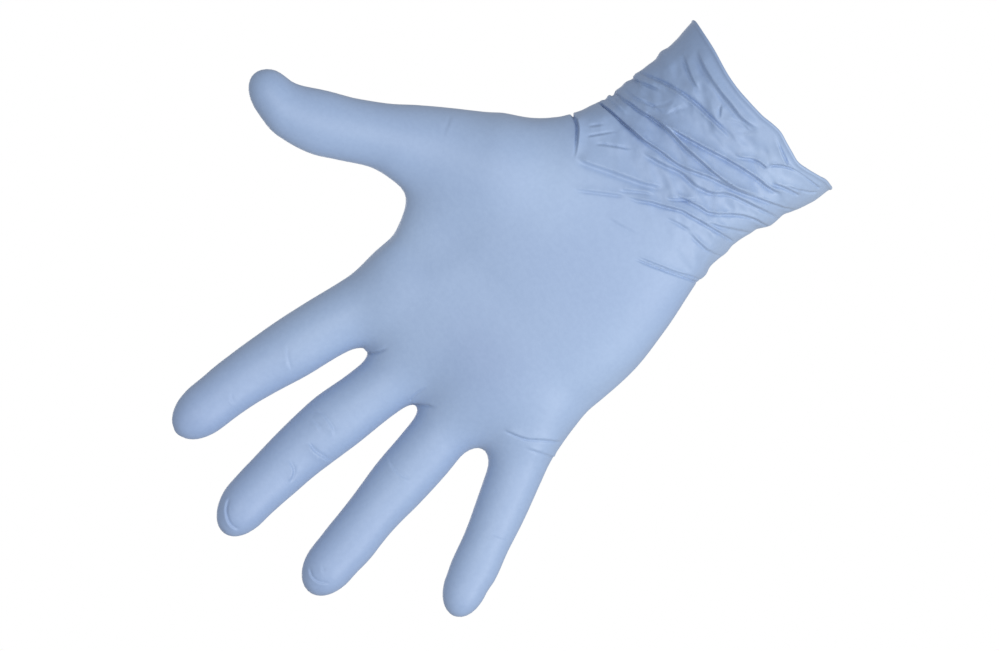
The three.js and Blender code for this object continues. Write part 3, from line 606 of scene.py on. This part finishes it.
# the ring's points that the inner skin lacks
inner_of = {n: len(outer) + n for n in coarse_ring}
extra = [n for n in ring.tolist() if n not in inner_of]
inner_of.update({n: count + k for k, n in enumerate(extra)})
verts.append(outer[extra] - normals[extra] * FILM)
count += len(extra)
chain = {}                   # each of the inner skin's open sides -> the ring's points along it
place_in_ring = {n: k for k, n in enumerate(ring.tolist())}
for a, b in zip(coarse_ring, coarse_ring[1:] + coarse_ring[:1]):
    k, run = place_in_ring[a], []
    while ring[(k + 1) % len(ring)] != b:
        k += 1
        run.append(int(ring[k % len(ring)]))
    chain[(a, b)] = run
faces = list(faces_out)
for q in coarse:
    face = []
    for n in (3, 2, 1, 0):
        a, b = q[n], q[n - 1]
        face.append(len(outer) + a)
        face += [inner_of[m] for m in chain.get((a, b), [])]
    faces.append(tuple(face))

out_dir = normals[ring]
mid = outer[ring] - out_dir * (FILM / 2)
lower = rim_line(outer[ring, 0], outer[ring, 1])
lengths = np.linalg.norm(np.roll(outer[ring], -1, 0) - outer[ring], axis=1)
along_rim = np.concatenate(((0,), np.cumsum(lengths)[:-1])) / lengths.sum() * 2 * math.pi
radius = BEAD_RADIUS * (1 + 0.05 * np.sin(7 * along_rim + 1.0) + 0.04 * np.sin(17 * along_rim + 0.3))
rows = [ring]
for n in range(BEAD_ROWS):
    # measured from straight up, round by the outside, the bottom and the inside
    turn = math.pi / 2 - (math.radians(28) + (2 * math.pi - math.radians(56)) * n / (BEAD_ROWS - 1))
    p = mid + out_dir * (radius * math.cos(turn))[:, None]
    p[:, 2] = lower + radius + radius * math.sin(turn)
    rows.append(count + n * len(ring) + np.arange(len(ring)))
    verts.append(p)
rows.append(np.array([inner_of[n] for n in ring.tolist()]))
for a, b in zip(rows[:-1], rows[1:]):
    faces += [tuple(f) for f in np.stack((a, np.roll(a, -1), np.roll(b, -1), b), 1).tolist()]
verts = np.concatenate(verts)

# the outline was measured in the picture's plane, so points nearer to the camera are drawn in a little
for axis, middle in zip((0, 2), VIEW_MIDDLE):
    verts[:, axis] = middle + (verts[:, axis] - middle) * (1 + verts[:, 1] / VIEW_FAR)
verts /= 1000

mesh = bpy.data.meshes.new("glove_film")
mesh.from_pydata(verts.tolist(), [], faces)
mesh.validate()
mesh.polygons.foreach_set("use_smooth", [True] * len(mesh.polygons))
mesh.update()
film = bpy.data.objects.new("glove_film", mesh)
bpy.context.scene.collection.objects.link(film)
mesh.calc_loop_triangles()
print("film:", len(mesh.vertices), "points", len(mesh.polygons), "faces", len(mesh.loop_triangles), "triangles")


# ---------------------------------------------------------------- materials
def nodes_of(material):
    material.use_nodes = True
    tree = material.node_tree
    tree.nodes.clear()
    return tree


def add(tree, kind, values=None, **settings):
    node = tree.nodes.new(kind)
    for key, v in settings.items():
        setattr(node, key, v)
    for key, v in (values or {}).items():
        node.inputs[key].default_value = v
    return node


def srgb(r, g, b):
    return tuple(c / 255 / 12.92 if c <= 10 else ((c / 255 + 0.055) / 1.055) ** 2.4 for c in (r, g, b)) + (1.0,)


def nitrile():
    m = bpy.data.materials.new("nitrile_film")
    t = nodes_of(m)
    link = t.links.new
    out = add(t, "ShaderNodeOutputMaterial")
    skin = add(t, "ShaderNodeBsdfPrincipled", {
        "IOR": 1.48, "Specular IOR Level": 0.55, "Sheen Weight": 0.08, "Sheen Roughness": 0.5,
        "Coat Weight": 0.04, "Coat Roughness": 0.35})
    link(skin.outputs["BSDF"], out.inputs["Surface"])
    where = add(t, "ShaderNodeTexCoord")

    # colour: slow drifts in the dip, and a fine mottle
    drift = add(t, "ShaderNodeTexNoise", {"Scale": 16.0, "Detail": 3.0, "Roughness": 0.55})
    mottle = add(t, "ShaderNodeTexNoise", {"Scale": 620.0, "Detail": 2.0, "Roughness": 0.6})
    for n in (drift, mottle):
        link(where.outputs["Object"], n.inputs["Vector"])
    tone = add(t, "ShaderNodeValToRGB")
    tone.color_ramp.elements[0].position = 0.30
    tone.color_ramp.elements[0].color = FILM_DARK
    tone.color_ramp.elements[1].position = 0.70
    tone.color_ramp.elements[1].color = FILM_LIGHT
    link(drift.outputs["Fac"], tone.inputs["Fac"])
    fine = add(t, "ShaderNodeValToRGB")
    fine.color_ramp.elements[0].position = 0.35
    fine.color_ramp.elements[0].color = (0.955, 0.96, 0.97, 1)
    fine.color_ramp.elements[1].position = 0.65
    fine.color_ramp.elements[1].color = (1.0, 1.0, 1.0, 1)
    link(mottle.outputs["Fac"], fine.inputs["Fac"])
    mix = add(t, "ShaderNodeMix", data_type="RGBA", blend_type="MULTIPLY")
    mix.inputs["Factor"].default_value = 1.0
    link(tone.outputs["Color"], mix.inputs[6])
    link(fine.outputs["Color"], mix.inputs[7])

    # painted shade: the colour darkens toward the fingertips and the thumb's tip, as the light falls off there
    split = add(t, "ShaderNodeSeparateXYZ")
    link(where.outputs["Object"], split.inputs["Vector"])
    lengthwise = add(t, "ShaderNodeMapRange", {"From Min": 0.0, "From Max": 0.25})
    link(split.outputs["Z"], lengthwise.inputs["Value"])
    painted_tip_shade = add(t, "ShaderNodeValToRGB")
    stops = painted_tip_shade.color_ramp.elements
    stops[0].position, stops[0].color = 0.70, (1.0, 1.0, 1.0, 1)
    stops[1].position, stops[1].color = 0.94, (0.895, 0.905, 0.95, 1)
    link(lengthwise.outputs["Result"], painted_tip_shade.inputs["Fac"])
    # painted shade at the thumb's tip
    outward = add(t, "ShaderNodeMapRange", {"From Min": 0.0, "From Max": 0.12})
    link(split.outputs["X"], outward.inputs["Value"])
    thumb_end = add(t, "ShaderNodeValToRGB")
    stops = thumb_end.color_ramp.elements
    stops[0].position, stops[0].color = 0.72, (1.0, 1.0, 1.0, 1)
    stops[1].position, stops[1].color = 0.95, (0.92, 0.935, 0.96, 1)
    link(outward.outputs["Result"], thumb_end.inputs["Fac"])
    # painted light and shade in four soft patches: painted shade darkens the palm's hollow; painted light brightens the
    # thumb's pad, the thumb's web and the outer edge by the little finger
    painted_shading_patches = []
    for centre, radii, tint_ in (((-0.0076, -0.014, 0.133), (0.040, 0.060, 0.036), (0.86, 0.870, 0.905, 1)),
                                 ((0.021, -0.016, 0.076), (0.032, 0.060, 0.034), (1.10, 1.09, 1.07, 1)),
                                 ((0.047, 0.000, 0.126), (0.024, 0.070, 0.030), (1.13, 1.12, 1.09, 1)),
                                 ((-0.037, -0.010, 0.102), (0.022, 0.050, 0.045), (1.07, 1.06, 1.04, 1))):
        patch_at = add(t, "ShaderNodeMapping")
        patch_at.inputs["Scale"].default_value = [1 / r for r in radii]
        patch_at.inputs["Location"].default_value = [-c / r for c, r in zip(centre, radii)]
        link(where.outputs["Object"], patch_at.inputs["Vector"])
        blot = add(t, "ShaderNodeTexGradient", gradient_type="QUADRATIC_SPHERE")
        link(patch_at.outputs["Vector"], blot.inputs["Vector"])
        shade_ = add(t, "ShaderNodeValToRGB")
        shade_.color_ramp.interpolation = "EASE"
        shade_.color_ramp.elements[0].position, shade_.color_ramp.elements[0].color = 0.0, (1.0, 1.0, 1.0, 1)
        shade_.color_ramp.elements[1].position, shade_.color_ramp.elements[1].color = 0.8, tint_
        link(blot.outputs["Fac"], shade_.inputs["Fac"])
        painted_shading_patches.append(shade_)
    # the loose cuff is deeper in tone, as unstretched film is; across it, painted shade darkens the thumb's side, which
    # faces away from the light, and painted light brightens the little finger's side
    cuff_part = add(t, "ShaderNodeMapRange", {"From Min": 0.072, "From Max": 0.030})
    cuff_part.interpolation_type = "SMOOTHSTEP"
    link(split.outputs["Z"], cuff_part.inputs["Value"])
    across = add(t, "ShaderNodeMapRange", {"From Min": -0.036, "From Max": 0.036})
    link(split.outputs["X"], across.inputs["Value"])
    cuff_tone = add(t, "ShaderNodeValToRGB")
    stops = cuff_tone.color_ramp.elements
    stops[0].position, stops[0].color = 0.0, (1.09, 1.06, 1.01, 1)
    stops[1].position, stops[1].color = 1.0, (0.80, 0.84, 0.90, 1)
    middle_stop = stops.new(0.5)
    middle_stop.color = (0.925, 0.93, 0.95, 1)
    link(across.outputs["Result"], cuff_tone.inputs["Fac"])
    deeper = add(t, "ShaderNodeMix", data_type="RGBA", blend_type="MULTIPLY")
    link(cuff_part.outputs["Result"], deeper.inputs["Factor"])
    link(mix.outputs[2], deeper.inputs[6])
    link(cuff_tone.outputs["Color"], deeper.inputs[7])
    tones = [deeper.outputs[2]]
    for ramp in (painted_tip_shade, thumb_end, *painted_shading_patches):
        darken = add(t, "ShaderNodeMix", data_type="RGBA", blend_type="MULTIPLY")
        darken.inputs["Factor"].default_value = 1.0
        link(tones[-1], darken.inputs[6])
        link(ramp.outputs["Color"], darken.inputs[7])
        tones.append(darken.outputs[2])
    link(tones[-1], skin.inputs["Base Color"])

    # satin finish that varies a little
    satin = add(t, "ShaderNodeMapRange", {"To Min": 0.40, "To Max": 0.52})
    patch = add(t, "ShaderNodeTexNoise", {"Scale": 45.0, "Detail": 3.0})
    link(where.outputs["Object"], patch.inputs["Vector"])
    link(patch.outputs["Fac"], satin.inputs["Value"])
    link(satin.outputs["Result"], skin.inputs["Roughness"])

    # grain of the film and faint stretch lines
    grain = add(t, "ShaderNodeTexNoise", {"Scale": 1500.0, "Detail": 2.0, "Roughness": 0.55})
    link(where.outputs["Object"], grain.inputs["Vector"])
    ripple = add(t, "ShaderNodeTexNoise", {"Scale": 190.0, "Detail": 3.0, "Roughness": 0.5})
    stretch = add(t, "ShaderNodeMapping")
    stretch.inputs["Scale"].default_value = (1.0, 1.0, 1.8)
    link(where.outputs["Object"], stretch.inputs["Vector"])
    link(stretch.outputs["Vector"], ripple.inputs["Vector"])
    soft = add(t, "ShaderNodeBump", {"Strength": 0.10, "Distance": 0.0008})
    link(ripple.outputs["Fac"], soft.inputs["Height"])
    fine_bump = add(t, "ShaderNodeBump", {"Strength": 0.10, "Distance": 0.0001})
    link(grain.outputs["Fac"], fine_bump.inputs["Height"])
    link(soft.outputs["Normal"], fine_bump.inputs["Normal"])
    link(fine_bump.outputs["Normal"], skin.inputs["Normal"])
    return m


FILM_DARK = srgb(155, 178, 214)
FILM_LIGHT = srgb(160, 183, 217)
mesh.materials.append(nitrile())

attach(film, "root")
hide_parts("glove")

# ---------------------------------------------------------------- floor, light and camera
floor_mesh = bpy.data.meshes.new("floor")
reach, level = 0.40, -0.35
floor_mesh.from_pydata([(-reach, -reach, level), (reach, -reach, level), (reach, reach, level), (-reach, reach, level)],
                       [], [(0, 1, 2, 3)])
floor = bpy.data.objects.new("floor", floor_mesh)
bpy.context.scene.collection.objects.link(floor)
pale = bpy.data.materials.new("pale_floor")
t = nodes_of(pale)
shade = add(t, "ShaderNodeBsdfPrincipled", {"Roughness": 0.8, "Specular IOR Level": 0.2})
t.links.new(shade.outputs["BSDF"], add(t, "ShaderNodeOutputMaterial").inputs["Surface"])
cloud = add(t, "ShaderNodeTexNoise", {"Scale": 3.0, "Detail": 2.0})
t.links.new(add(t, "ShaderNodeTexCoord").outputs["Object"], cloud.inputs["Vector"])
tint = add(t, "ShaderNodeValToRGB")
tint.color_ramp.elements[0].color = (0.80, 0.80, 0.81, 1)
tint.color_ramp.elements[1].color = (0.84, 0.84, 0.85, 1)
t.links.new(cloud.outputs["Fac"], tint.inputs["Fac"])
t.links.new(tint.outputs["Color"], shade.inputs["Base Color"])
floor_mesh.materials.append(pale)
floor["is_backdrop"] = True


def softbox(name, at, target, size, watts, colour=(1, 1, 1)):
    data = bpy.data.lights.new(name, "AREA")
    data.shape = "RECTANGLE"
    data.size, data.size_y = size
    data.energy = watts
    data.color = colour
    lamp = bpy.data.objects.new(name, data)
    lamp.location = at
    lamp.rotation_mode = "QUATERNION"
    lamp.rotation_quaternion = (Vector(target) - Vector(at)).to_track_quat("-Z", "Y")
    lamp.visible_camera = False
    bpy.context.scene.collection.objects.link(lamp)
    return lamp


AIM = (0.0, 0.0, 0.12)
softbox("key", (-1.08, -1.15, -0.42), AIM, (1.0, 1.0), 13.0)
softbox("front", (0.05, -2.1, 0.0), AIM, (1.5, 1.5), 14.0)
softbox("rear", (0.3, 2.0, 0.45), AIM, (1.2, 1.2), 6.0)

world = bpy.data.worlds.new("studio")
bpy.context.scene.world = world
t = nodes_of(world)
sky = add(t, "ShaderNodeBackground", {"Color": (1, 1, 1, 1), "Strength": 1.0})
dim = add(t, "ShaderNodeBackground", {"Color": (1, 1, 1, 1), "Strength": 0.46})
ray = add(t, "ShaderNodeLightPath")
both = add(t, "ShaderNodeMixShader")
t.links.new(ray.outputs["Is Camera Ray"], both.inputs["Fac"])
t.links.new(dim.outputs["Background"], both.inputs[1])
t.links.new(sky.outputs["Background"], both.inputs[2])
t.links.new(both.outputs["Shader"], add(t, "ShaderNodeOutputWorld").inputs["Surface"])

scene = bpy.context.scene
scene.view_settings.view_transform = "Standard"
scene.view_settings.look = "None"
scene.view_settings.exposure = 0.0
scene.view_settings.gamma = 1.0

ROLL = math.radians(39.5)      # angle of the glove's length to the picture's width
FAR = VIEW_FAR / 1000
SPAN = 0.3477                  # width of the picture at the glove
camera = bpy.data.objects.new("camera", bpy.data.cameras.new("camera"))
scene.collection.objects.link(camera)
camera.data.sensor_width = 36.0
camera.data.lens = 36.0 * FAR / SPAN
camera.data.clip_start, camera.data.clip_end = 0.1, 20.0
right = Vector((-math.sin(ROLL), 0, -math.cos(ROLL)))
up = Vector((math.cos(ROLL), 0, -math.sin(ROLL)))
turned = Matrix((right, up, right.cross(up))).transposed().to_4x4()
camera.matrix_world = Matrix.Translation((VIEW_MIDDLE[0] / 1000, -FAR, VIEW_MIDDLE[1] / 1000)) @ turned
scene.camera = camera

low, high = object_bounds()
